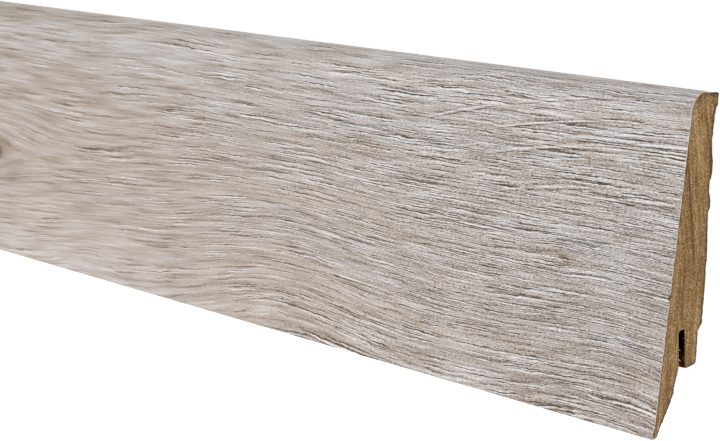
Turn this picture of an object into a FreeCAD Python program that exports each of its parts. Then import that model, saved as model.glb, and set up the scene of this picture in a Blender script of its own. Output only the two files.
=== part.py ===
import FreeCAD, Part
import os
import Sketcher

# Skirting board length: a moulded board of fibreboard with a wood-look decor foil on its face,
# round its nose and under its tip. It lies on its back: X runs along the board, Y up the board
# as it is fitted (the floor edge is at low Y), and Z away from the wall (the back is at Z = 0).

# Driving sizes in millimetres, and angles in degrees.
DRIVING_SIZES = {
    "board_length": (2400.0, "sold length of one board"),
    "board_height": (60.0, "floor edge to the crest of the nose"),
    "board_depth": (16.0, "wall to the floor tip of the face"),
    "face_lean": (6.3, "angle by which the face leans back to the wall"),
    "nose_radius": (4.5, "rounding between the face and the top"),
    "top_fall": (9.0, "angle by which the top falls towards the wall"),
    "foil_thickness": (0.3, "decor foil with its glue line"),
    "foil_reach": (1.4, "foil over the top, past the nose's rounding; bare core behind it"),
    "tip_width": (1.4, "flat under the floor tip, which the foil covers"),
    "tip_round": (0.25, "rounding of the foil where it folds under the tip"),
    "hollow_angle": (52.0, "slope of the hollow behind the tip, from the floor"),
    "hollow_bend": (6.8, "floor to the height where that slope steepens"),
    "throat_angle": (70.0, "slope from there up to the clip groove"),
    "leg_height": (10.3, "floor to the underside of the back leg"),
    "leg_recess": (1.5, "back leg set in from the wall"),
    "leg_corner": (0.5, "rounding of the back leg's lower corners"),
    "shoulder_height": (17.6, "floor to the top of the back leg's shoulder"),
    "shoulder_drop": (1.3, "height of the shoulder's slope"),
    "groove_height": (18.2, "floor to the closed end of the clip groove"),
    "groove_setback": (7.0, "floor tip to the groove's front wall at its closed end"),
    "groove_width": (2.2, "clip groove across"),
    "groove_lean": (8.5, "angle by which the groove opens towards the wall"),
    "groove_corner": (0.5, "cutter's rounding at the groove's closed end"),
    "mouth_round": (0.5, "rounding where the hollow meets the groove"),
    "land_height": (9.2, "lower strip of the back that bears on the wall"),
    "lip_height": (1.5, "upper strip of the back that bears on the wall"),
    "lip_runout": (2.3, "height of the slope from there into the back's hollow"),
    "relief_depth": (1.4, "hollow planed into the back, at its upper side"),
    "relief_rise": (0.9, "by how much that hollow gets shallower to its lower side"),
    "land_runout": (0.9, "height of the slope from the hollow out to the lower strip"),
}

# A cut has to take at least this share of the volume, and a corner lies this near its point.
LEAST_CUT = 1e-6
CORNER_REACH = 0.01

doc = FreeCAD.newDocument("skirting_board")
sizes = doc.addObject("Spreadsheet::Sheet", "sizes")
for row, (alias, (value, note)) in enumerate(DRIVING_SIZES.items(), start=1):
    sizes.set(f"A{row}", note)
    sizes.set(f"B{row}", str(value))
    sizes.setAlias(f"B{row}", alias)
doc.recompute()

# Slopes and heights that several sketches share, as expressions of the driving sizes.
LEAN_TAN = "tan(sizes.face_lean * 1 deg)"
LEAN_SIN = "sin(sizes.face_lean * 1 deg)"
LEAN_COS = "cos(sizes.face_lean * 1 deg)"
FALL_TAN = "tan(sizes.top_fall * 1 deg)"
FALL_SIN = "sin(sizes.top_fall * 1 deg)"
FALL_COS = "cos(sizes.top_fall * 1 deg)"
GROOVE_TAN = "tan(sizes.groove_lean * 1 deg)"
HOLLOW_TAN = "tan(sizes.hollow_angle * 1 deg)"
THROAT_TAN = "tan(sizes.throat_angle * 1 deg)"

NOSE_UP = "(sizes.board_height - sizes.nose_radius)"
NOSE_OUT = f"(sizes.board_depth - {NOSE_UP} * {LEAN_TAN} - sizes.nose_radius / {LEAN_COS})"
TIP_OUT = "(sizes.board_depth - sizes.tip_width)"
FOIL_EDGE = f"({NOSE_OUT} - sizes.nose_radius * {FALL_SIN} - sizes.foil_reach)"
LEG_BACK = "sizes.leg_recess"
GROOVE_FRONT = "(sizes.board_depth - sizes.groove_setback)"
GROOVE_BACK = f"({GROOVE_FRONT} - sizes.groove_width)"

# The bend of the hollow behind the tip, and the mouth, where its steep upper slope (the throat)
# crosses the groove's front wall; both are first run down to the floor's height.
BEND_OUT = f"({TIP_OUT} - (sizes.hollow_bend - sizes.foil_thickness) / {HOLLOW_TAN})"
THROAT_FOOT = f"({BEND_OUT} + sizes.hollow_bend / {THROAT_TAN})"
GROOVE_FOOT = f"({GROOVE_FRONT} - sizes.groove_height * {GROOVE_TAN})"
MOUTH_UP = f"(({THROAT_FOOT} - {GROOVE_FOOT}) / ({GROOVE_TAN} + 1 / {THROAT_TAN}))"
MOUTH_OUT = f"({THROAT_FOOT} - {MOUTH_UP} / {THROAT_TAN})"
LEG_FRONT = f"({GROOVE_BACK} - (sizes.groove_height - sizes.leg_height) * {GROOVE_TAN})"


def value_of(expression):
    """Number that an expression of the driving sizes has now."""
    result = sizes.evalExpression(expression)
    return float(getattr(result, "Value", result))


def add_section(body, name):
    """Sketch across the board, measured up from the floor edge and out from the wall."""
    section = body.newObject("Sketcher::SketchObject", name)
    across = next(f for f in body.Origin.OriginFeatures if f.Role == "YZ_Plane")
    section.AttachmentSupport = [(across, "")]
    section.MapMode = "FlatFace"
    section.setExpression("AttachmentOffset.Base.x", "-sizes.board_height / 2")
    return section


def pin(section, edge, end, axis, expression):
    """Holds one coordinate of a corner at an expression; a corner on an axis is held to it."""
    if expression == "0":
        on_axis = -1 if axis == "Y" else -2
        section.addConstraint(Sketcher.Constraint("PointOnObject", edge, end, on_axis))
        return
    distance = value_of(expression)
    rule = Sketcher.Constraint(f"Distance{axis}", -1, 1, edge, end, distance)
    index = section.addConstraint(rule)
    section.setExpression(f"Constraints[{index}]", expression)


def draw_outline(section, corners, arcs=None):
    """Closed outline through corners given as (up, out) expressions.

    arcs gives, for a corner's number, the radius and the centre of the arc that starts there.
    """
    arcs = arcs or {}
    points = [FreeCAD.Vector(value_of(up), value_of(out), 0) for up, out in corners]
    for number, start in enumerate(points):
        end = points[(number + 1) % len(points)]
        if number not in arcs:
            section.addGeometry(Part.LineSegment(start, end))
            continue
        radius, (up, out) = arcs[number]
        centre = FreeCAD.Vector(value_of(up), value_of(out), 0)
        middle = ((start + end) / 2 - centre).normalize() * value_of(radius) + centre
        section.addGeometry(Part.Arc(start, middle, end))
    for number, (up, out) in enumerate(corners):
        before = (number - 1) % len(corners)
        this_end = end_facing(section, number, points[number])
        other_end = end_facing(section, before, points[number])
        meet = Sketcher.Constraint("Coincident", before, other_end, number, this_end)
        section.addConstraint(meet)
        pin(section, number, this_end, "X", up)
        pin(section, number, this_end, "Y", out)
    for number, (radius, _) in arcs.items():
        rule = Sketcher.Constraint("Radius", number, value_of(radius))
        index = section.addConstraint(rule)
        section.setExpression(f"Constraints[{index}]", radius)


def end_facing(section, edge, point):
    """Which end of an edge, 1 or 2, lies at a point: an arc may run either way round."""
    first, second = section.getPoint(edge, 1), section.getPoint(edge, 2)
    return 1 if (first - point).Length <= (second - point).Length else 2


def pad_along(body, section, name):
    """Runs a section along the whole board, half to each side of its middle."""
    pad = body.newObject("PartDesign::Pad", name)
    pad.Profile = section
    pad.SideType = "Symmetric"
    pad.setExpression("Length", "sizes.board_length")
    doc.recompute()


def plane_along(body, name, corners):
    """Planes a section out of the body from end to end, and makes sure that it cut."""
    before = body.Shape.Volume
    section = add_section(body, f"{name}_section")
    draw_outline(section, corners)
    doc.recompute()
    pocket = body.newObject("PartDesign::Pocket", name)
    pocket.Profile = section
    pocket.SideType = "Symmetric"
    pocket.setExpression("Length", "sizes.board_length")
    doc.recompute()
    if body.Shape.Volume >= before * (1 - LEAST_CUT):
        raise RuntimeError(f"{name} took nothing off {body.Label}")


def long_edge_at(shape, up, out):
    """Name of the edge along the board that passes through a point of the section."""
    target = FreeCAD.Vector(0, value_of(up) - value_of("sizes.board_height / 2"), value_of(out))
    best = None
    for number, edge in enumerate(shape.Edges, start=1):
        run = edge.Vertexes[-1].Point - edge.Vertexes[0].Point
        if abs(run.x) < value_of("sizes.board_length") / 2:
            continue
        at = edge.Vertexes[0].Point
        gap = (FreeCAD.Vector(0, at.y, at.z) - target).Length
        if best is None or gap < best[0]:
            best = (gap, f"Edge{number}")
    if best is None or best[0] > CORNER_REACH:
        raise RuntimeError(f"no edge along the board at {up}, {out}")
    return best[1]


def round_edges(body, name, radius, places):
    """Rounds the edges along the board at the given points of the section."""
    base = body.Tip
    fillet = body.newObject("PartDesign::Fillet", name)
    fillet.Base = (base, [long_edge_at(base.Shape, up, out) for up, out in places])
    fillet.setExpression("Radius", radius)
    doc.recompute()


def face_arc(inset):
    """Corners and arc of the face, nose and top, set in from the outside by an expression."""
    radius = f"(sizes.nose_radius - {inset})"
    arc_start = (f"{NOSE_UP} + {radius} * {LEAN_SIN}", f"{NOSE_OUT} + {radius} * {LEAN_COS}")
    arc_end = (f"{NOSE_UP} + {radius} * {FALL_COS}", f"{NOSE_OUT} - {radius} * {FALL_SIN}")
    return radius, arc_start, arc_end


def top_at(inset, out):
    """Height of the top, set in from the outside, at a distance out from the wall."""
    radius = f"(sizes.nose_radius - {inset})"
    return f"{NOSE_UP} + {radius} / {FALL_COS} - ({NOSE_OUT} - {out}) * {FALL_TAN}"


def face_at(inset, up):
    """Distance of the face from the wall, set in from the outside, at a height."""
    return f"sizes.board_depth - {up} * {LEAN_TAN} - {inset} / {LEAN_COS}"


def make_core():
    """The fibreboard: face, nose and top under the foil, then what is planed off the back."""
    body = doc.addObject("PartDesign::Body", "mdf_core")
    foil = "sizes.foil_thickness"
    radius, arc_start, arc_end = face_arc(foil)
    blank = add_section(body, "blank_section")
    outline = [
        (foil, "0"),
        (foil, face_at(foil, foil)),
        arc_start,
        arc_end,
        (top_at(foil, "0"), "0"),
    ]
    draw_outline(blank, outline, {2: (radius, (NOSE_UP, NOSE_OUT))})
    pad_along(body, blank, "blank")

    # the hollow behind the tip, up to the groove's mouth and the underside of the back leg
    plane_along(body, "tip_hollow", [
        (foil, "0"),
        (foil, TIP_OUT),
        ("sizes.hollow_bend", BEND_OUT),
        (MOUTH_UP, MOUTH_OUT),
        ("sizes.leg_height", LEG_FRONT),
        ("sizes.leg_height", "0"),
    ])

    # the clip groove, whose walls run on down into the hollow
    groove_drop = f"(sizes.groove_height - {foil}) * {GROOVE_TAN}"
    plane_along(body, "clip_groove", [
        (foil, f"{GROOVE_FRONT} - {groove_drop}"),
        ("sizes.groove_height", GROOVE_FRONT),
        ("sizes.groove_height", GROOVE_BACK),
        (foil, f"{GROOVE_BACK} - {groove_drop}"),
    ])

    # the back leg stands in from the wall, below a sloping shoulder
    plane_along(body, "leg_recess", [
        (foil, "0"),
        (foil, LEG_BACK),
        ("sizes.shoulder_height - sizes.shoulder_drop", LEG_BACK),
        ("sizes.shoulder_height", "0"),
    ])

    # the shallow hollow between the two strips that bear on the wall
    relief_low = "(sizes.shoulder_height + sizes.land_height)"
    relief_high = f"({top_at(foil, '0')} - sizes.lip_height)"
    plane_along(body, "back_relief", [
        (relief_low, "0"),
        (f"{relief_low} + sizes.land_runout", "sizes.relief_depth - sizes.relief_rise"),
        (f"{relief_high} - sizes.lip_runout", "sizes.relief_depth"),
        (relief_high, "0"),
    ])

    # corners that the cutters leave round the groove and the back leg
    round_edges(body, "mouth_rounding", "sizes.mouth_round", [(MOUTH_UP, MOUTH_OUT)])
    round_edges(body, "leg_rounding", "sizes.leg_corner", [
        ("sizes.leg_height", LEG_FRONT),
        ("sizes.leg_height", LEG_BACK),
    ])
    round_edges(body, "groove_rounding", "sizes.groove_corner", [
        ("sizes.groove_height", GROOVE_FRONT),
        ("sizes.groove_height", GROOVE_BACK),
    ])
    return body


def make_foil():
    """The decor foil: from under the tip up the face, round the nose and over the top."""
    body = doc.addObject("PartDesign::Body", "decor_foil")
    foil = "sizes.foil_thickness"
    outer_radius, outer_start, outer_end = face_arc("0")
    inner_radius, inner_start, inner_end = face_arc(foil)
    band = add_section(body, "foil_section")
    outline = [
        ("0", TIP_OUT),
        ("0", "sizes.board_depth"),
        outer_start,
        outer_end,
        (top_at("0", FOIL_EDGE), FOIL_EDGE),
        (top_at(foil, FOIL_EDGE), FOIL_EDGE),
        inner_end,
        inner_start,
        (foil, face_at(foil, foil)),
        (foil, TIP_OUT),
    ]
    centre = (NOSE_UP, NOSE_OUT)
    draw_outline(band, outline, {2: (outer_radius, centre), 6: (inner_radius, centre)})
    pad_along(body, band, "foil_wrap")
    round_edges(body, "tip_rounding", "sizes.tip_round", [("0", "sizes.board_depth")])
    return body


def check_model(bodies):
    """Stops if any feature failed, or a piece isn't one sound solid."""
    for item in doc.Objects:
        if {"Invalid", "Error"} & set(item.State):
            raise RuntimeError(f"{item.Name} failed: {item.State}")
    for body in bodies:
        shape = body.Shape
        if shape.isNull() or not shape.isValid() or len(shape.Solids) != 1:
            raise RuntimeError(f"{body.Label} isn't one sound solid")
        box = shape.BoundBox
        print(f"{body.Label}: {box.XLength:.1f} x {box.YLength:.2f} x {box.ZLength:.2f} mm, "
              f"{shape.Volume / 1000:.1f} cm3")


pieces = [make_core(), make_foil()]
doc.recompute()
check_model(pieces)

os.makedirs("parts", exist_ok=True)
for piece in pieces:
    piece.Shape.exportStep(f"parts/{piece.Label}.step")
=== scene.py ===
import math
import random

import bmesh
import bpy
from mathutils import Matrix, Vector, kdtree, noise


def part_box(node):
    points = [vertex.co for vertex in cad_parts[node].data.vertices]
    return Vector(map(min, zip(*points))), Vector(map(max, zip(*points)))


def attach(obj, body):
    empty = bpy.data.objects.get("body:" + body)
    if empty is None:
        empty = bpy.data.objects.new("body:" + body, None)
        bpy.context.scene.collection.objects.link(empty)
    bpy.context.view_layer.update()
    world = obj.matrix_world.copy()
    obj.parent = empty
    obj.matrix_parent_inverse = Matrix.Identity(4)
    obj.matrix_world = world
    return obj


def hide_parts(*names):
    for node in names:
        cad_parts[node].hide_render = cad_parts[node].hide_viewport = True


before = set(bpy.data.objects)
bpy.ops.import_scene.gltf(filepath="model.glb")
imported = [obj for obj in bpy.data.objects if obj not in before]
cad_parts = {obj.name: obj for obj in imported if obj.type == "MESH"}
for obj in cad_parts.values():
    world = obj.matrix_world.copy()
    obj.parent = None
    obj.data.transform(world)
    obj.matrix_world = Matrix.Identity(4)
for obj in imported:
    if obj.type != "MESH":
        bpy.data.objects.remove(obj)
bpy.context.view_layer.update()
print("frame loaded")

# The board lies on its back: X runs along it, Y up the board as it is fitted, Z away from the wall.
mm = 0.001
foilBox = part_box("decor_foil")
boardEnd = foilBox[1].x / mm                    # the photographed end, in millimetres as all below
boardHeight = (foilBox[1].y - foilBox[0].y) / mm
foilEdgeOut = foilBox[0].z / mm                 # the foil ends short of the back


def heightAt(y):
    # millimetres above the floor edge
    return y / mm + boardHeight / 2


def linear(hexCode):
    # sRGB hex to the linear colour that shaders take
    parts = [int(hexCode[i:i + 2], 16) / 255 for i in (1, 3, 5)]
    return [p / 12.92 if p <= 0.04045 else ((p + 0.055) / 1.055) ** 2.4 for p in parts] + [1.0]


def addNode(tree, kind, links=None, **settings):
    # links holds a value, a socket or a node (its first output in use) for each input
    node = tree.nodes.new("ShaderNode" + kind)
    for name, value in settings.items():
        setattr(node, name, value)
    for key, source in (links or {}).items():
        socket = node.inputs[key]
        if isinstance(source, bpy.types.Node):
            source = next(s for s in source.outputs if s.enabled)
        if isinstance(source, bpy.types.NodeSocket):
            tree.links.new(source, socket)
        else:
            socket.default_value = source
    return node


def giveStops(ramp, stops, interpolation="LINEAR"):
    # stops are positions with a grey or a hex colour
    ramp.color_ramp.interpolation = interpolation
    marks = ramp.color_ramp.elements
    marks = [marks[0], *(marks.new(0.5) for _ in stops[2:]), marks[-1]]
    for mark, (position, shade) in zip(marks, stops):
        mark.position = position
        mark.color = linear(shade) if isinstance(shade, str) else (shade, shade, shade, 1)
    return ramp


def addBlots(tree, place, sizes, seed, detail=1.0):
    # noise whose blots measure these sizes, in the unit of the place
    spot = addNode(tree, "VectorMath", {0: place, 1: [1 / s for s in sizes], 2: (seed, seed, seed)},
                   operation="MULTIPLY_ADD")
    return addNode(tree, "TexNoise", {"Vector": spot, "Scale": 1.0, "Detail": detail})


def addTone(tree, tone, part, share):
    # adds a share of a part that swings about a half
    swing = addNode(tree, "Math", {0: part, 1: -0.5}, operation="ADD")
    return addNode(tree, "Math", {0: swing, 1: share, 2: tone}, operation="MULTIPLY_ADD")


def addSpot(tree, gap, spreads):
    # how many spreads away a point is, and a spot that is 1 at no distance and fades out
    gap = addNode(tree, "VectorMath", {0: gap, 1: [1 / s for s in spreads]}, operation="MULTIPLY")
    square = addNode(tree, "VectorMath", {0: gap, 1: gap}, operation="DOT_PRODUCT").outputs["Value"]
    return gap, addNode(tree, "Math", {0: math.exp(-1), 1: square}, operation="POWER")


def sawnFace(tree):
    # 1 on the sawn ends, 0 on the long sides
    facing = addNode(tree, "SeparateXYZ", {0: addNode(tree, "NewGeometry").outputs["True Normal"]})
    facing = addNode(tree, "Math", {0: facing.outputs["X"]}, operation="ABSOLUTE")
    return addNode(tree, "Math", {0: facing, 1: 0.7}, operation="GREATER_THAN")


def newMaterial(name):
    material = bpy.data.materials.new(name)
    material.use_nodes = True
    material.node_tree.nodes.clear()
    return material, material.node_tree


# The moulded section, which both pieces share.
section = {
    "depth": 16.0,              # wall to the floor tip
    "faceLean": 6.3,            # degrees
    "topFall": 9.0,             # degrees
    "noseRadius": 4.5,
    "noseSegments": 24,
    "foilThickness": 0.3,
    "tipWidth": 1.4,
    "tipRadius": 0.25,
    "tipSegments": 3,
}
lean, fall = (math.radians(section[name]) for name in ("faceLean", "topFall"))
leanTan, leanCos, fallTan, fallCos = math.tan(lean), math.cos(lean), math.tan(fall), math.cos(fall)
noseUp = boardHeight - section["noseRadius"]
noseOut = section["depth"] - noseUp * leanTan - section["noseRadius"] / leanCos


def faceOut(up, inset=0.0):
    return section["depth"] - up * leanTan - inset / leanCos


def topUp(out, inset=0.0):
    return noseUp + (section["noseRadius"] - inset) / fallCos - (noseOut - out) * fallTan


def noseCorner(inset=0.0):
    # where the face and the top would meet without the nose's rounding
    up = (topUp(0, inset) + faceOut(0, inset) * fallTan) / (1 + leanTan * fallTan)
    return up, faceOut(up, inset)


def girthAt(up, out):
    # distance up the face from the floor tip, on round the nose and over the top
    rise, reach = up - noseUp, out - noseOut
    turn = math.atan2(rise, reach)
    if turn < lean or rise < 0:
        return up * leanCos + (section["depth"] - out) * math.sin(lean)
    faceLength = noseUp / leanCos + section["noseRadius"] * leanTan
    arc = min(turn, math.pi / 2 + fall) - lean
    onTop = max(0.0, -reach * fallCos - rise * math.sin(fall))
    return faceLength + section["noseRadius"] * arc + (onTop if turn > math.pi / 2 + fall else 0.0)


def roundCorner(bm, corner, radius, segments):
    sides = [(edge.other_vert(corner).co - corner.co) for edge in corner.link_edges]
    turn = math.pi - sides[0].angle(sides[1])
    bmesh.ops.bevel(bm, geom=[corner], offset=radius * math.tan(turn / 2), offset_type="OFFSET",
                    segments=segments, profile=0.5, affect="VERTICES", material=-1)


def cutAcross(bm, axis, places):
    normal = Vector([float(i == axis) for i in range(3)])
    for place in places:
        everything = bm.verts[:] + bm.edges[:] + bm.faces[:]
        bmesh.ops.bisect_plane(bm, geom=everything, dist=1e-6 * mm, plane_co=normal * place * mm,
                               plane_no=normal)


def steps(low, high, step):
    count = int((high - low) / step)
    return [low + (i + 0.5) * (high - low) / count for i in range(count)]


def runAlong(corners, cell, stations, layers=()):
    # corners are (up, out, rounding, segments, layer values); the section is cut into cells this
    # far apart, extruded from one sawn end to the other and cut again at stations near both ends
    bm = bmesh.new()
    marks = [bm.verts.layers.float.new(name) for name in layers]
    around = []
    for up, out, radius, segments, *values in corners:
        vert = bm.verts.new(Vector((boardEnd, up - boardHeight / 2, out)) * mm)
        for mark, value in zip(marks, values):
            vert[mark] = value
        around.append(vert)
    bm.faces.new(around)
    for vert, (up, out, radius, segments, *values) in zip(around, corners):
        if radius:
            roundCorner(bm, vert, radius * mm, segments)
    lows, highs = ([pick(v.co[axis] for v in bm.verts) / mm for axis in (1, 2)] for pick in (min, max))
    for axis, low, high in zip((1, 2), lows, highs):
        cutAcross(bm, axis, steps(low, high, cell))
    grown = bmesh.ops.extrude_face_region(bm, geom=bm.faces[:], use_keep_orig=True)["geom"]
    moved = [item for item in grown if isinstance(item, bmesh.types.BMVert)]
    bmesh.ops.translate(bm, verts=moved, vec=(-2 * boardEnd * mm, 0, 0))
    bmesh.ops.recalc_face_normals(bm, faces=bm.faces[:])
    for place in stations:
        cutAcross(bm, 0, [boardEnd - place, place - boardEnd])
    return bm


def finishPiece(bm, name, node, material, sharpAngle=0.6):
    for face in bm.faces:
        face.smooth = True
    for edge in bm.edges:
        edge.smooth = edge.is_manifold and edge.calc_face_angle() < sharpAngle
    mesh = bpy.data.meshes.new(name)
    bm.to_mesh(mesh)
    bm.free()
    piece = bpy.data.objects.new(name, mesh)
    bpy.context.scene.collection.objects.link(piece)
    mesh.materials.append(material)
    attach(piece, "root")
    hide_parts(node)
    print(name, "has", sum(len(p.vertices) - 2 for p in mesh.polygons), "triangles")


# Decor foil: paper printed with a pale grey oak, lacquered matt and embossed with the pores.
# It gives the eye a dull sheen, fine dark pores edged by painted highlight, and bands of beige and
# grey.
# Places on the print are from the photographed end and up the face; tones go from 0 to 1.
foil = {
    "cell": 0.4,                # spacing of the cuts across the sawn ends
    "endCuts": [0.25, 1.0, 4.0, 40.0, 300.0, 800.0],
    "chip": 0.12,               # how far the saw nibbled the foil's edge
    "chipLength": 0.9,
    "breaks": [                 # larger chips on both ends: up, how far to each side, depth
        (25.3, 0.8, 0.4),
        (1.0, 1.0, 0.2),
    ],
    "printRepeat": 480.0,       # length after which the print's figure comes again
    "figure": [                 # arches of the grain: place, spreads, rise
        (-10, 50, 45, 12, 1.6),
        (85, 8, 39, 26, 14.0),
        (7, 5, 46, 27, 14.0),
        (146, 6, 26, 12, 4.0),
        (127, 44, 20, 40, 1.0),
        (72, 2, 17, 45, -1.0),
    ],
    "knots": [                  # place, spreads, how far the grain lines part
        (186, 25, 18, 8, 0.9),
        (22, 28, 5, 3, 0.6),
    ],
    "wander": [                 # length, width and reach of the grain lines' own waviness
        (26, 9, 1.4),
        (7, 2.5, 0.4),
        (3, 1.0, 0.35),
    ],
    "crispArea": (20, 32, 115, 55),     # the print is in focus here, place and spreads
    "calm": 0.14,               # what is left of the finest detail far away from it
    "fibres": [                 # length, width, detail, roughness, seed and share of the tone
        (8, 0.4, 2.0, 0.55, 3.1, 0.5),
        (14, 1.1, 2.0, 0.5, 7.7, 0.42),
        (45, 3.0, 1.0, 0.5, 17.7, 0.1),
        (0.5, 0.2, 1.0, 0.5, 27.1, 0.85),   # real fibres are 0.03 mm, drawn as fine as shows
    ],
    "fineWidth": 1.0,           # fibres thinner than this calm down away from the crisp area
    "fineCalming": 2.0,
    "pores": [                  # calming, length, spacing, width, share of the tone, seed
        (2.0, 13, 0.7, 0.7, 2.8, 19.4),
        (2.4, 7, 0.45, 0.55, 2.1, 11.9),
        (1.1, 20, 1.4, 1.4, 0.95, 5.3),
        (0.35, 12, 1.2, 1.4, 0.55, 47.3),
    ],
    "poreVariety": 1.5,         # higher leaves fewer deep pores among the shallow ones
    "poreReach": (0.2, 0.6),    # half a pore's length, as a share of its cell
    "poreTaper": 0.3,           # where it starts to end, as the square of a share of that half
    "poreWidths": (0.7, 1.3),
    "profileSpan": 0.6,         # half of what the profile across a pore covers
    "profile": [                # from below the pore to above it: painted highlight, dark floor, weaker painted highlight
        (0.05, 0.5),
        (0.24, 0.95),
        (0.38, 0.4),
        (0.5, 0.0),
        (0.6, 0.35),
        (0.74, 0.7),
        (0.95, 0.5),
    ],
    "vigour": (24, 4, 1.0, 0.5, 23.7, 0.3, 0.7, 0.45, 1.35),    # streaks, their range, its meaning
    "broken": (1.8, 0.6, 1.0, 0.5, 41.3, 0.3, 0.6, 0.45, 1.2),
    "fray": (1.2, 0.4, 2.0, 0.6, 71.9, 0.35),   # streaks and reach of the pores' uneven edges
    "rays": {                   # light rays that cross the grain in a fan
        "area": (22, 48, 34, 9),
        "slope": 0.15,
        "bend": 0.0025,
        "streak": (28, 2.0, 1.3, -1.5, 61.3),
    },
    "tones": [                  # from the deepest pore to the lightest fibre
        (0.16, "#453323"),
        (0.31, "#837060"),
        (0.43, "#A99C90"),
        (0.53, "#BBB2AC"),
        (0.65, "#CCC8C7"),
        (0.82, "#E9E7E8"),
    ],
    "stainsAndShade": [                 # place, spreads, tone shift, colour and its share; one is painted shade on the nose
        (172, 2, 42, 14, 0.06, "#FFFFFF", 0.0),
        (185, 14, 110, 26, 0.0, "#FEF8F4", 1.0),
        (110, 47, 130, 8, 0.0, "#FBFCFF", 0.6),
        (80, 57, 400, 7, 0.05, "#FBFCFF", 0.6),
        (0, 30, 45, 60, 0.0, "#FAFCFF", 0.8),
        (4, 6, 32, 18, -0.05, "#FFFFFF", 0.0),
        # painted shade: darker on the nose far from the end
        (178, 60, 40, 3.5, -0.07, "#FFFFFF", 0.0),
        (140, 3, 22, 9, 0.05, "#FFFFFF", 0.0),
        (183, 26, 5, 3, -0.05, "#E4D6CA", 0.8),
        (184, 24.5, 1.6, 1.2, -0.3, "#A39C94", 0.8),
        (23, 28.5, 4.5, 1.8, -0.03, "#F4EEE8", 0.8),
        (21.6, 28.6, 0.6, 0.3, -0.16, "#D0C0B0", 0.8),
        (22.1, 26.9, 0.6, 0.3, -0.2, "#D0C0B0", 0.7),
        (20.6, 28.0, 0.3, 0.4, -0.15, "#D0C0B0", 0.7),
        (19.4, 26.6, 1.2, 0.2, 0.12, "#FFFFFF", 0.0),
        (49, 18.2, 0.25, 0.5, 0.0, "#D9A277", 1.0),
        (65.3, 8.3, 0.25, 0.5, 0.0, "#D9A277", 1.0),
        (12.6, 32.4, 0.18, 0.6, 0.0, "#D9A277", 0.8),
        (18.4, 46.6, 0.22, 0.7, 0.0, "#D99A6A", 1.0),
    ],
    "warm": "#FCF9F5",
    "cool": "#FAFAFB",
    "bands": (90.0, 6.0, 2.0, 0.5, 31.7),       # streaks that turn from warm to cool
    "bandRange": (0.35, 0.65),
    "cutEdge": "#E6E4E4",       # the paper's sawn edge
    "glue": "#8A6A3C",          # soaked into its inner side
    "glueBlot": 0.9,
    "glueSeed": 3.3,
    "glueSpread": 0.9,
    "glueRange": (0.95, 1.15),
    "roughness": 0.52,
    "ior": 1.47,                # acrylic lacquer
    "emboss": 0.07,             # depth of the pores
    "embossStrength": 0.6,
}


def figureSpot(tree, place, along, up, spreadAlong, spreadUp):
    # spot of one feature of the print, which comes again with each print repeat
    half, never = foil["printRepeat"] / 2, 999
    gap = addNode(tree, "VectorMath", {0: place, 1: (along, up, 0)}, operation="SUBTRACT")
    gap = addNode(tree, "VectorMath", {0: gap, 1: (half, never, never), 2: (-half, -never, -never)},
                  operation="WRAP")
    return addSpot(tree, gap, (spreadAlong, spreadUp, 1e6))


def alongGrain(tree, place, length, width, seed=0.0):
    # the place counted in lengths along the grain and widths across it
    return addNode(tree, "VectorMath", {0: place, 1: (1 / length, 1 / width, 0), 2: (seed, seed, 0)},
                   operation="MULTIPLY_ADD")


def addStreaks(tree, grain, length, width, detail=1.0, roughness=0.5, seed=0.0):
    # noise drawn out along the grain, its streaks about this long and wide in millimetres
    links = {"Vector": alongGrain(tree, grain, length, width, seed), "Scale": 1.0,
             "Detail": detail, "Roughness": roughness}
    return addNode(tree, "TexNoise", links, noise_dimensions="2D")


def grainLevel(tree, place):
    # height of the print's grain line through each point: bent by the arches, parted by the knots
    level = addNode(tree, "SeparateXYZ", {0: place}).outputs["Y"]
    for *spot, rise in foil["figure"]:
        fade = figureSpot(tree, place, *spot)[1]
        level = addNode(tree, "Math", {0: fade, 1: -rise, 2: level}, operation="MULTIPLY_ADD")
    for *spot, spreadUp, part in foil["knots"]:
        gap, fade = figureSpot(tree, place, *spot, spreadUp)
        height = addNode(tree, "SeparateXYZ", {0: gap}).outputs["Y"]
        pull = addNode(tree, "Math", {0: height, 1: fade}, operation="MULTIPLY")
        level = addNode(tree, "Math", {0: pull, 1: -part * spreadUp, 2: level},
                        operation="MULTIPLY_ADD")
    for length, width, reach in foil["wander"]:
        drift = addStreaks(tree, place, length, width)
        level = addNode(tree, "Math", {0: drift, 1: reach, 2: level}, operation="MULTIPLY_ADD")
    return level


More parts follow.
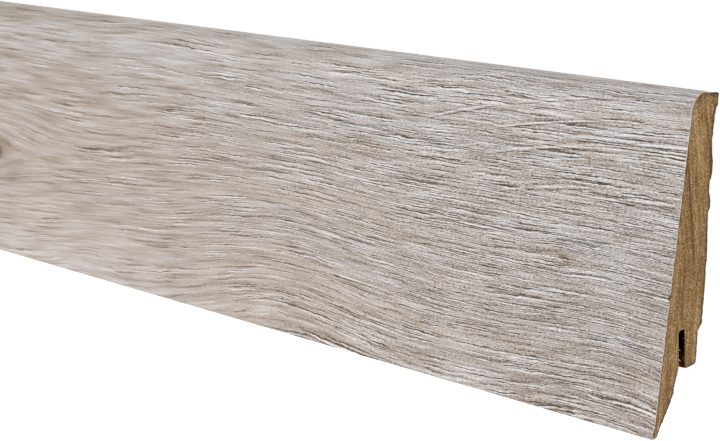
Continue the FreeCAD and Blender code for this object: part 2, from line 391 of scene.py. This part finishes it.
def addPores(tree, grain, tone, vigour, length, spacing, widen, share, seed):
    # each cell of a stretched Voronoi holds one pore, a dash along the grain of its own length
    # and depth: dark in the middle, with a painted highlight below and a weaker one above, as if lit
    # from above. A share below nothing turns it into a pale ray with painted shade beside it
    spot = alongGrain(tree, grain, length, spacing, seed)
    cell = addNode(tree, "TexVoronoi", {"Vector": spot, "Scale": 1.0}, voronoi_dimensions="2D")
    gap = addNode(tree, "VectorMath", {0: spot, 1: cell.outputs["Position"]}, operation="SUBTRACT")
    gap = addNode(tree, "SeparateXYZ", {0: gap})
    chance = addNode(tree, "SeparateXYZ", {0: cell.outputs["Color"]})
    shortest, longest = foil["poreReach"]
    reach = addNode(tree, "MapRange", {0: chance.outputs["X"], 3: shortest, 4: longest})
    taper = addNode(tree, "Math", {0: gap.outputs["X"], 1: reach}, operation="DIVIDE")
    taper = addNode(tree, "Math", {0: taper, 1: 2.0}, operation="POWER")
    taper = addNode(tree, "MapRange", {0: taper, 1: 1.0, 2: foil["poreTaper"]})
    deep = addNode(tree, "Math", {0: chance.outputs["Y"], 1: foil["poreVariety"]}, operation="POWER")
    deep = addNode(tree, "Math", {0: deep, 1: taper}, operation="MULTIPLY")
    deep = addNode(tree, "Math", {0: deep, 1: vigour}, operation="MULTIPLY")
    thinnest, widest = (foil["profileSpan"] * widen / spacing * part for part in foil["poreWidths"])
    span = addNode(tree, "MapRange", {0: chance.outputs["Z"], 3: thinnest, 4: widest})
    across = addNode(tree, "Math", {0: gap.outputs["Y"], 1: span}, operation="DIVIDE")
    across = addNode(tree, "MapRange", {0: across, 1: -1.0, 2: 1.0})
    profile = giveStops(addNode(tree, "ValToRGB", {0: across}), foil["profile"], "EASE")
    part = addNode(tree, "Math", {0: profile, 1: -0.5}, operation="ADD")
    part = addNode(tree, "Math", {0: part, 1: deep}, operation="MULTIPLY")
    return addNode(tree, "Math", {0: part, 1: share, 2: tone}, operation="MULTIPLY_ADD")


def addRays(tree, place, tone, broken):
    # steeper the further they are from the end
    rays = foil["rays"]
    gap, fade = figureSpot(tree, place, *rays["area"])
    gap = addNode(tree, "SeparateXYZ", {0: gap})
    aside = addNode(tree, "Math", {0: gap.outputs["X"], 1: rays["area"][2]}, operation="MULTIPLY")
    climb = addNode(tree, "Math", {0: aside, 1: rays["bend"], 2: rays["slope"]},
                    operation="MULTIPLY_ADD")
    up = addNode(tree, "SeparateXYZ", {0: place}).outputs["Y"]
    climb = addNode(tree, "Math", {0: climb, 1: aside, 2: up}, operation="MULTIPLY_ADD")
    fan = addNode(tree, "CombineXYZ", {"X": aside, "Y": climb})
    fade = addNode(tree, "Math", {0: fade, 1: broken}, operation="MULTIPLY")
    return addPores(tree, fan, tone, fade, *rays["streak"])


def foilTone(tree, place):
    # soft fibre in a few sizes, then the pores and rays over it
    along = addNode(tree, "SeparateXYZ", {0: place}).outputs["X"]
    grain = addNode(tree, "CombineXYZ", {"X": along, "Y": grainLevel(tree, place)})
    fade = figureSpot(tree, place, *foil["crispArea"])[1]
    crisp = addNode(tree, "MapRange", {0: fade, 3: foil["calm"], 4: 1.0})
    fine = addNode(tree, "Math", {0: crisp, 1: foil["fineCalming"]}, operation="POWER")
    tone = 0.5
    for *fibre, share in foil["fibres"]:
        if fibre[1] < foil["fineWidth"]:
            share = addNode(tree, "Math", {0: fine, 1: share}, operation="MULTIPLY")
        tone = addTone(tree, tone, addStreaks(tree, grain, *fibre), share)

    # pores are deeper in some places than in others, and the paper's fibres fray their edges
    strengths = []
    for name in ("vigour", "broken"):
        *streaks, low, high, weakest, strongest = foil[name]
        strengths.append(addNode(tree, "MapRange", {0: addStreaks(tree, grain, *streaks), 1: low,
                                                    2: high, 3: weakest, 4: strongest}))
    vigour, broken = strengths
    broken = addNode(tree, "Math", {0: broken, 1: crisp}, operation="POWER")
    vigour = addNode(tree, "Math", {0: vigour, 1: broken}, operation="MULTIPLY")
    *streaks, reach = foil["fray"]
    frayed = addNode(tree, "CombineXYZ", {"Y": addStreaks(tree, grain, *streaks)})
    frayed = addNode(tree, "VectorMath", {0: frayed, 1: (0, reach, 0), 2: grain},
                     operation="MULTIPLY_ADD")
    for calming, *pore in foil["pores"]:
        calmed = addNode(tree, "Math", {0: crisp, 1: calming}, operation="POWER")
        calmed = addNode(tree, "Math", {0: calmed, 1: vigour}, operation="MULTIPLY")
        tone = addPores(tree, frayed, tone, calmed, *pore)
    return addRays(tree, place, tone, broken), grain


def makeFoilMaterial():
    material, tree = newMaterial("Matt printed decor foil")
    uv = addNode(tree, "UVMap", uv_map="alongAndUp").outputs["UV"]
    place = addNode(tree, "VectorMath", {0: uv, "Scale": 1 / mm}, operation="SCALE")
    tone, grain = foilTone(tree, place)

    # stains of the print, and a patch of painted shade on the nose
    stained = (1.0, 1.0, 1.0, 1.0)
    for *spot, shift, stain, share in foil["stainsAndShade"]:
        fade = figureSpot(tree, place, *spot)[1]
        tone = addNode(tree, "Math", {0: fade, 1: shift, 2: tone}, operation="MULTIPLY_ADD")
        fade = addNode(tree, "Math", {0: fade, 1: share}, operation="MULTIPLY")
        stained = addNode(tree, "Mix", {0: fade, 6: stained, 7: linear(stain)}, data_type="RGBA")

    low, high = foil["bandRange"]
    band = addNode(tree, "MapRange", {0: addStreaks(tree, grain, *foil["bands"]), 1: low, 2: high})
    tint = addNode(tree, "Mix", {0: band, 6: linear(foil["warm"]), 7: linear(foil["cool"])},
                   data_type="RGBA")
    colour = giveStops(addNode(tree, "ValToRGB", {0: tone}), foil["tones"])
    for over in (tint, stained):
        colour = addNode(tree, "Mix", {0: 1.0, 6: colour, 7: over}, data_type="RGBA",
                         blend_type="MULTIPLY")

    # the sawn edge is the paper's own white, soiled by the glue on its inner side
    soaked = addNode(tree, "Attribute", attribute_name="glue").outputs["Fac"]
    uneven = addBlots(tree, addNode(tree, "TexCoord").outputs["Object"], [foil["glueBlot"] * mm] * 3,
                      foil["glueSeed"])
    soaked = addNode(tree, "Math", {0: uneven, 1: foil["glueSpread"], 2: soaked},
                     operation="MULTIPLY_ADD")
    low, high = foil["glueRange"]
    soaked = addNode(tree, "MapRange", {0: soaked, 1: low, 2: high})
    cut = addNode(tree, "Mix", {0: soaked, 6: linear(foil["cutEdge"]), 7: linear(foil["glue"])},
                  data_type="RGBA")
    colour = addNode(tree, "Mix", {0: sawnFace(tree), 6: colour, 7: cut}, data_type="RGBA")
    bump = addNode(tree, "Bump", {"Strength": foil["embossStrength"], "Distance": foil["emboss"] * mm,
                                  "Height": tone})
    shader = addNode(tree, "BsdfPrincipled", {"Base Color": colour, "Roughness": foil["roughness"],
                                              "IOR": foil["ior"], "Normal": bump})
    addNode(tree, "OutputMaterial", {"Surface": shader})
    return material


def makeFoil():
    depth, thickness, radius = (section[name] for name in ("depth", "foilThickness", "noseRadius"))
    tipOut = depth - section["tipWidth"]
    segments = section["noseSegments"]
    bm = runAlong([
        (0, tipOut, 0, 0, 0),
        (0, depth, section["tipRadius"], section["tipSegments"], 0),
        (*noseCorner(), radius, segments, 0),
        (topUp(foilEdgeOut), foilEdgeOut, 0, 0, 0),
        (topUp(foilEdgeOut, thickness), foilEdgeOut, 0, 0, 1),
        (*noseCorner(thickness), radius - thickness, segments, 1),
        (thickness, faceOut(thickness, thickness), 0, 0, 1),
        (thickness, tipOut, 0, 0, 1),
    ], foil["cell"], foil["endCuts"], ("glue",))
    for vert in bm.verts:
        if boardEnd - abs(vert.co.x) / mm < 0.01:
            nibble = max(0.0, noise.noise(vert.co / (foil["chipLength"] * mm))) * foil["chip"]
            for up, reach, bite in foil["breaks"]:
                nibble += bite * max(0.0, 1 - abs(heightAt(vert.co.y) - up) / reach)
            vert.co.x -= math.copysign(nibble * mm, vert.co.x)
    uvLayer = bm.loops.layers.uv.new("alongAndUp")
    for face in bm.faces:
        for loop in face.loops:
            x, y, z = loop.vert.co
            loop[uvLayer].uv = (boardEnd * mm - x, girthAt(heightAt(y), z / mm) * mm)
    finishPiece(bm, "decorFoil", "decor_foil", makeFoilMaterial())


makeFoil()


# Medium-density fibreboard, planed and grooved along its back and sawn off at the ends.
# Pressed wood fibre gives a mid brown with paler and darker layers, fine specks and no grain. The
# saw leaves a torn fringe round the back, its dark brown partly painted shade where it turns from
# the lamps, and light fluff round the groove. The groove's walls and the bare top are darkened,
# partly scorched by the cutter and partly painted shade in the recess and on the grazing top.
core = {
    "lipHeight": 1.5, "lipRunout": 2.3, "reliefDepth": 1.4, "reliefRise": 0.9,
    "reliefLow": 26.8, "landRunout": 0.9, "shoulderUp": 17.6, "shoulderDrop": 1.3,
    "legUp": 10.3, "legRecess": 1.5, "corner": 0.5, "cornerSegments": 4,
    "grooveUp": 18.2, "grooveSetback": 7.0, "grooveWidth": 2.2, "grooveLean": 8.5,
    "hollowBend": 6.8, "hollowAngle": 52.0, "throatAngle": 70.0,
    "cell": 0.25,               # spacing of the cuts across the sawn ends
    "endCuts": [0.15, 0.4, 0.8, 1.3, 2.0, 3.0, 12.0, 100.0, 500.0],
    "fringeRun": 2.2,           # how far along the board the torn fringe goes
    "fringeFade": 1.5,
    "fringeDepth": 1.2,         # how far in from the rim the sawn end gives way
    "fringeSteps": [(4.6, 0.55), (1.7, 0.25)],  # length of the torn bits, and how far they stand out
    "fringeFine": (0.9, 0.45),
    "fringeDetail": (0.7, 2.0, 3),
    "endShift": 40,             # makes the two ends tear differently
    "tears": [                  # swellings of the fringe on the back: top, bottom and reach
        (56.5, 51.5, 0.35),
        (49.6, 43.8, 0.7),
        (41.8, 38.4, 0.75),
        (37.0, 27.2, 0.45),
        (26.5, 24.0, 0.3),
    ],
    "tearsOut": 3.0,            # they are nearer to the wall than this
    # width and strength of the rim's dark band: the torn fringe's own colour and painted shade
    "rimWidth": 0.9,
    "rimStrength": 1.8,
    "mouthChip": 0.15,          # how much wider the saw chipped the groove
    "tufts": 70,                # loose fibres on each end
    "tuftLength": (0.25, 0.6),
    "tuftWidth": 0.09,          # real ones are 0.04 mm, drawn as thin as shows
    "tuftStart": (0.1, 0.5),    # how far inside the sawn end
    "tuftRoot": 0.1,
    "tuftSway": (-0.5, 0.5),
    "tuftForward": (-0.2, 0.5),
    "tuftSeed": 5,
    "shavings": [               # left hanging in the groove: from and to (up, out), and width
        (13.1, 8.4, 12.1, 6.9, 0.35),
        (14.6, 8.0, 14.2, 7.3, 0.2),
    ],
    "shavingStart": 0.3,
    "layers": [                 # thickness, reach, detail, seed and share of the tone
        (1.3, 14.0, 2.0, 3.7, 0.75),
        (0.4, 3.5, 2.0, 14.1, 0.7),
        (0.2, 0.26, 1.0, 25.3, 1.65),       # real specks are 0.05 mm, drawn as fine as shows
    ],
    "layerLean": 0.25,          # sideways to up, above layerBend
    "layerBend": 29.0,
    "seams": [                  # layers of another tone: up, out at layerBend's height, spreads, shift
        (38.5, 4.85, 12.0, 0.3, -0.5),
        (44.5, 5.5, 4.0, 0.2, -0.25),
        (31.0, 8.3, 9.0, 0.3, -0.14),
        (8.0, 12.0, 13.0, 2.5, -0.08),
        (13.5, 2.5, 6.0, 3.0, 0.1),
    ],
    "tones": [
        (0.12, "#4A2F08"),
        (0.36, "#7E5822"),
        (0.5, "#99723A"),
        (0.64, "#B28D55"),
        (0.88, "#D9BE92"),
    ],
    # dark brown of the torn fringe, partly painted shade where the rim turns from the lamps
    "tornAndShade": "#4E3006",
    "tornAndShadeRange": (0.3, 0.7, 1.3, 0.5),  # tones, and how much darker than usual the rim is on them, painted shade included
    "fluff": "#D2AE74",
    "burnsAndShade": [(0.0, "#512A0B"), (0.5, "#0E0502")],     # from singed to scorched, with painted shade in the groove and on the bare top
    "roughness": 0.85,
    "ior": 1.5,
    "sheen": 0.5,
    "relief": 0.12,
    "reliefStrength": 0.7,
}


def makeCoreMaterial():
    material, tree = newMaterial("Raw medium-density fibreboard")
    rimDarkAndShade, fluff, scorchAndShade = (addNode(tree, "Attribute", attribute_name=name).outputs["Fac"]
                          for name in ("rimDarkAndShade", "fluff", "scorchAndShade"))
    place = addNode(tree, "TexCoord").outputs["Object"]
    place = addNode(tree, "VectorMath", {0: place, "Scale": 1 / mm}, operation="SCALE")
    parts = addNode(tree, "SeparateXYZ", {0: place})
    # the pressed layers lean over in the upper part
    above = addNode(tree, "Math", {0: parts.outputs["Y"], 1: core["layerBend"] - boardHeight / 2},
                    operation="SUBTRACT")
    above = addNode(tree, "Math", {0: above, 1: 0.0}, operation="MAXIMUM")
    out = addNode(tree, "Math", {0: above, 1: -core["layerLean"], 2: parts.outputs["Z"]},
                  operation="MULTIPLY_ADD")
    place = addNode(tree, "CombineXYZ", {0: parts.outputs["X"], 1: parts.outputs["Y"], 2: out})
    tone = 0.5
    for thickness, reach, detail, seed, share in core["layers"]:
        blots = addBlots(tree, place, (reach, reach, thickness), seed, detail)
        tone = addTone(tree, tone, blots, share)
    for up, layer, spreadUp, spreadOut, shift in core["seams"]:
        gap = addNode(tree, "VectorMath", {0: place, 1: (0, up - boardHeight / 2, layer)},
                      operation="SUBTRACT")
        fade = addSpot(tree, gap, (1e6, spreadUp, spreadOut))[1]
        tone = addNode(tree, "Math", {0: fade, 1: shift, 2: tone}, operation="MULTIPLY_ADD")
    colour = giveStops(addNode(tree, "ValToRGB", {0: tone}), core["tones"])

    # the rim is darkened by the torn fringe's colour and by painted shade
    darkTone, paleTone, onDark, onPale = core["tornAndShadeRange"]
    tornAndShadeByTone = addNode(tree, "MapRange", {0: tone, 1: darkTone, 2: paleTone, 3: onDark, 4: onPale})
    tornAndShade = addNode(tree, "Math", {0: rimDarkAndShade, 1: tornAndShadeByTone}, operation="MULTIPLY", use_clamp=True)
    colour = addNode(tree, "Mix", {0: tornAndShade, 6: colour, 7: linear(core["tornAndShade"])}, data_type="RGBA")
    colour = addNode(tree, "Mix", {0: fluff, 6: colour, 7: linear(core["fluff"])}, data_type="RGBA")
    # the groove's walls and the bare top are darkened by scorch and by painted shade
    longSide = addNode(tree, "Math", {0: 1.0, 1: sawnFace(tree)}, operation="SUBTRACT")
    scorchAndShade = addNode(tree, "Math", {0: scorchAndShade, 1: longSide}, operation="MULTIPLY", use_clamp=True)
    for start, burnAndShadeColour in core["burnsAndShade"]:
        share = addNode(tree, "MapRange", {0: scorchAndShade, 1: start, 2: start + 0.5})
        colour = addNode(tree, "Mix", {0: share, 6: colour, 7: linear(burnAndShadeColour)}, data_type="RGBA")
    bump = addNode(tree, "Bump", {"Strength": core["reliefStrength"], "Distance": core["relief"] * mm,
                                  "Height": tone})
    sheen = addNode(tree, "MapRange", {0: scorchAndShade, 3: core["sheen"], 4: 0.0})
    shader = addNode(tree, "BsdfPrincipled", {"Base Color": colour, "Roughness": core["roughness"],
                                              "IOR": core["ior"], "Normal": bump,
                                              "Specular IOR Level": sheen})
    addNode(tree, "OutputMaterial", {"Surface": shader})
    return material


def coreCorners():
    # (up, out, rounding, segments, looseness in millimetres, fluffiness, scorch with painted
    # shade), from the tip up the face and down the back
    inset = section["foilThickness"]
    tipOut = section["depth"] - section["tipWidth"]
    lipUp = topUp(0, inset) - core["lipHeight"]
    reliefLow, grooveUp, legUp, bendUp = (core[name] for name in
                                          ("reliefLow", "grooveUp", "legUp", "hollowBend"))
    grooveTan, throatTan, hollowTan = (math.tan(math.radians(core[name])) for name in
                                       ("grooveLean", "throatAngle", "hollowAngle"))
    grooveFront = section["depth"] - core["grooveSetback"]
    grooveBack = grooveFront - core["grooveWidth"]
    bendOut = tipOut - (bendUp - inset) / hollowTan
    throatFoot = bendOut + bendUp / throatTan
    mouthUp = (throatFoot - grooveFront + grooveUp * grooveTan) / (grooveTan + 1 / throatTan)
    legFront = grooveBack - (grooveUp - legUp) * grooveTan
    rounded = (core["corner"], core["cornerSegments"])
    return [
        (inset, faceOut(inset, inset), 0, 0, 0, 0, 0),
        (*noseCorner(inset), section["noseRadius"] - inset, section["noseSegments"], 0, 0, 0),
        # the bare top takes full scorch, which is also painted shade
        (topUp(foilEdgeOut, inset), foilEdgeOut, 0, 0, 0.1, 0, 1),
        (topUp(0, inset), 0, 0, 0, 0.6, 0, 1),
        (lipUp, 0, 0, 0, 0.9, 0, 0.3),
        (lipUp - core["lipRunout"], core["reliefDepth"], 0, 0, 0.35, 0, 0),
        (reliefLow + core["landRunout"], core["reliefDepth"] - core["reliefRise"], 0, 0, 0.3, 0, 0),
        (reliefLow, 0, 0, 0, 0.3, 0, 0),
        (core["shoulderUp"], 0, 0, 0, 0.3, 0, 0),
        (core["shoulderUp"] - core["shoulderDrop"], core["legRecess"], 0, 0, 0.25, 0, 0),
        (legUp, core["legRecess"], *rounded, 0.2, 0, 0.1),
        # the groove's walls take scorch, partly painted shade in the recess
        (legUp, legFront, *rounded, 0.15, 0.2, 0.7),
        (grooveUp, grooveBack, *rounded, 0.1, 0.5, 1.25),
        (grooveUp, grooveFront, *rounded, 0.1, 1, 1),
        (mouthUp, throatFoot - mouthUp / throatTan, *rounded, 0.15, 0.5, 0.9),
        (bendUp, bendOut, 0, 0, 0.4, 0, 0),
        (inset, tipOut, 0, 0, 0.15, 0, 0),
    ]


def tornReach(spot, side, looseness):
    # how far the fringe stands out at this spot of the rim, in millimetres
    at = spot + Vector((side * core["endShift"], 0, 0))
    reach = sum(share * noise.cell(at / step) for step, share in core["fringeSteps"])
    step, share = core["fringeFine"]
    reach = (reach + share * noise.fractal(at / step, *core["fringeDetail"])) * looseness
    up = spot.y + boardHeight / 2
    for top, bottom, swelling in core["tears"]:
        if bottom < up < top and spot.z < core["tearsOut"]:
            way = (top - up) / (top - bottom)
            reach += swelling * (4 * way * (1 - way)) ** 0.5 * (0.6 + 0.6 * way)
    return reach


def makeCore():
    bm = runAlong(coreCorners(), core["cell"], core["endCuts"], ("loose", "fluff", "scorchAndShade"))
    loose, fluff = (bm.verts.layers.float[name] for name in ("loose", "fluff"))
    rimDarkAndShade = bm.verts.layers.float.new("rimDarkAndShade")
    # which way is out of the board at each point of the sawn end's rim
    outward = {}
    for edge in bm.edges:
        if not edge.is_manifold or any(v.co.x != boardEnd * mm for v in edge.verts):
            continue
        sides = [face.normal for face in edge.link_faces if abs(face.normal.x) < 0.5]
        for vert in edge.verts if sides else ():
            outward[vert] = outward.get(vert, Vector((0, 0, 0))) + sides[0]
    rimVerts = sorted(outward, key=lambda v: (v.co.y, v.co.z))
    places = [(Vector((0, v.co.y, v.co.z)), outward[v].normalized(), v[loose], v[fluff])
              for v in rimVerts]
    nearest = kdtree.KDTree(len(places))
    for number, (spot, *rest) in enumerate(places):
        nearest.insert(spot, number)
    nearest.balance()
    for vert in bm.verts:
        fromEnd = boardEnd - abs(vert.co.x) / mm
        if fromEnd > core["fringeRun"]:
            vert[rimDarkAndShade] = vert[fluff] = 0.0
            continue
        number, gap = nearest.find(Vector((0, vert.co.y, vert.co.z)))[1:]
        spot, push, looseness, fluffiness = places[number]
        gap /= mm
        fade = (1 - fromEnd / core["fringeRun"]) ** core["fringeFade"]
        reach = tornReach(spot / mm, math.copysign(1, vert.co.x), looseness)
        reach -= core["mouthChip"] * fluffiness
        move = push * reach * fade * max(0.0, 1 - gap / core["fringeDepth"]) * mm
        vert.co.y += move.y
        vert.co.z = max(0.0, vert.co.z + move.z)
        # the rim's darkening: the torn fringe's colour and painted shade where it turns from the lamps
        edge = core["rimStrength"] * max(0.0, 1 - gap / core["rimWidth"]) * fade
        vert[rimDarkAndShade] = edge * min(1.0, 0.35 + looseness / 0.3) * (1 - fluffiness)
        vert[fluff] = max(0.0, edge - 1) * fluffiness
    addTufts(bm, rimDarkAndShade, fluff, [(s, p, f) for s, p, looseness, f in places if looseness > 0.05])
    finishPiece(bm, "mdfCore", "mdf_core", makeCoreMaterial())


def addTufts(bm, rimDarkAndShade, fluff, places):
    # loose fibres start inside the board and stand out at its sawn rim
    chance = random.Random(core["tuftSeed"])
    for side in (-1, 1):
        for _ in range(core["tufts"]):
            spot, push, fluffy = chance.choice(places)
            length = chance.uniform(*core["tuftLength"]) * mm
            sway = Vector((side * chance.uniform(*core["tuftForward"]),
                           chance.uniform(*core["tuftSway"]), chance.uniform(*core["tuftSway"])))
            way = (push + sway).normalized()
            inside = boardEnd - chance.uniform(*core["tuftStart"])
            start = spot + Vector((side * inside * mm, 0, 0)) - push * core["tuftRoot"] * mm
            middle = start + way * length / 2
            if middle.z + way.z * length / 2 >= 0:
                # the tufts share the rim's darkening, painted shade included
                addTuft(bm, middle, way, length, core["tuftWidth"], (rimDarkAndShade, 0.4 * (1 - fluffy)),
                        (fluff, 0.5 + 0.5 * fluffy))
        for fromUp, fromOut, toUp, toOut, width in core["shavings"]:
            start, end = (Vector((side * (boardEnd - core["shavingStart"]), up - boardHeight / 2, out))
                          * mm for up, out in ((fromUp, fromOut), (toUp, toOut)))
            addTuft(bm, (start + end) / 2, end - start, (end - start).length, width, (rimDarkAndShade, 0.0),
                    (fluff, 1.0))


def addTuft(bm, middle, way, length, width, *marks):
    # a thin closed cone
    turn = way.to_track_quat("Z", "Y").to_matrix().to_4x4()
    made = bmesh.ops.create_cone(bm, cap_ends=True, segments=5, radius1=width / 2 * mm,
                                 radius2=width / 8 * mm, depth=length,
                                 matrix=Matrix.Translation(middle) @ turn)
    for vert in made["verts"]:
        for layer, value in marks:
            vert[layer] = value


makeCore()


# A pale floor that stays white to the camera and keeps the board's soft shadow.
studio = {
    "floorSize": 40.0,          # metres, as are all places here
    "floorColour": "#E8E8E8",
    "floorGlow": 0.72,          # share of the white that doesn't come from the lamps
    "worldStrength": 0.55,
    "lamps": [                  # name, watts, place
        ("keyLight", 39.0, (0.3, 0.1, 2.5)),
        ("fillLight", 10.0, (2.6, -0.8, 1.4)),
    ],
    "lampSize": (3.4, 2.2),
    "lampAim": (0.6, 0, 0),
}


def addSeenRays(tree):
    # 1 for rays that show the studio to the camera, straight or mirrored, and 0 for its light
    rays = addNode(tree, "LightPath")
    seen = 0.0
    for name in ("Is Camera Ray", "Is Glossy Ray", "Is Transmission Ray"):
        seen = addNode(tree, "Math", {0: rays.outputs[name], 1: seen}, operation="MAXIMUM")
    return seen


def makeFloor():
    bm = bmesh.new()
    bmesh.ops.create_grid(bm, x_segments=1, y_segments=1, size=studio["floorSize"] / 2)
    mesh = bpy.data.meshes.new("paperSweep")
    bm.to_mesh(mesh)
    bm.free()
    floor = bpy.data.objects.new("paperSweep", mesh)
    bpy.context.scene.collection.objects.link(floor)
    # matt paper, which shows the eye a plain white without a sheen
    material, tree = newMaterial("White paper sweep")
    strength = addNode(tree, "Math", {0: addSeenRays(tree), 1: studio["floorGlow"]},
                       operation="MULTIPLY")
    paper = addNode(tree, "BsdfDiffuse", {"Color": linear(studio["floorColour"])})
    glow = addNode(tree, "Emission", {"Color": linear("#FFFFFF"), "Strength": strength})
    both = addNode(tree, "AddShader", {0: paper, 1: glow})
    addNode(tree, "OutputMaterial", {"Surface": both})
    mesh.materials.append(material)


def makeLights():
    world = bpy.data.worlds.new("studioWorld")
    world.use_nodes = True
    tree = world.node_tree
    tree.nodes.clear()
    strength = addNode(tree, "MapRange", {0: addSeenRays(tree), 3: studio["worldStrength"], 4: 1.0})
    sky = addNode(tree, "Background", {"Color": linear("#FFFFFF"), "Strength": strength})
    addNode(tree, "OutputWorld", {"Surface": sky})
    bpy.context.scene.world = world
    for name, power, place in studio["lamps"]:
        light = bpy.data.lights.new(name, "AREA")
        light.shape = "RECTANGLE"
        light.size, light.size_y = studio["lampSize"]
        light.energy = power
        lamp = bpy.data.objects.new(name, light)
        lamp.location = place
        sight = Vector(studio["lampAim"]) - Vector(place)
        lamp.rotation_euler = sight.to_track_quat("-Z", "Y").to_euler()
        bpy.context.scene.collection.objects.link(lamp)


# The photo shows the board standing on its floor edge, so the camera is turned with it: the board's
# +Y points up in the picture, and the turn and rise are those of a camera before a standing board.
photo = {
    "width": 720, "height": 441,
    "lens": 74.07, "sensor": 36.0,
    "turn": 39.235,             # degrees round from square on, towards the photographed end
    "rise": 14.935,             # degrees above level
    "roll": 0.547,
    "tipPixel": (652.75, 441.08),   # where the floor tip of the sawn end would be without rounding
    "tipDistance": 264.9,       # millimetres from the camera
    "clipStart": 0.01,
}


def makeCamera():
    turn, rise, roll = (math.radians(photo[name]) for name in ("turn", "rise", "roll"))
    level = Vector((math.cos(turn), 0, -math.sin(turn)))
    back = Vector((math.sin(turn) * math.cos(rise), math.sin(rise), math.cos(turn) * math.cos(rise)))
    right = level * math.cos(roll) + back.cross(level) * math.sin(roll)
    up = back.cross(right)
    focal = photo["lens"] / photo["sensor"] * photo["width"]
    across = (photo["tipPixel"][0] - photo["width"] / 2) / focal
    down = (photo["tipPixel"][1] - photo["height"] / 2) / focal
    sight = (right * across - up * down - back).normalized()
    tip = Vector((boardEnd, -boardHeight / 2, section["depth"]))
    place = (tip - sight * photo["tipDistance"]) * mm
    data = bpy.data.cameras.new("photoCamera")
    data.sensor_fit = "HORIZONTAL"
    data.sensor_width = photo["sensor"]
    data.lens = photo["lens"]
    data.clip_start = photo["clipStart"]
    camera = bpy.data.objects.new("photoCamera", data)
    camera.matrix_world = Matrix.Translation(place) @ Matrix((right, up, back)).transposed().to_4x4()
    bpy.context.scene.collection.objects.link(camera)
    bpy.context.scene.camera = camera


makeFloor()
makeLights()
print("floor and lamps placed")
makeCamera()
bpy.context.scene.view_settings.view_transform = "Standard"
print("camera placed")
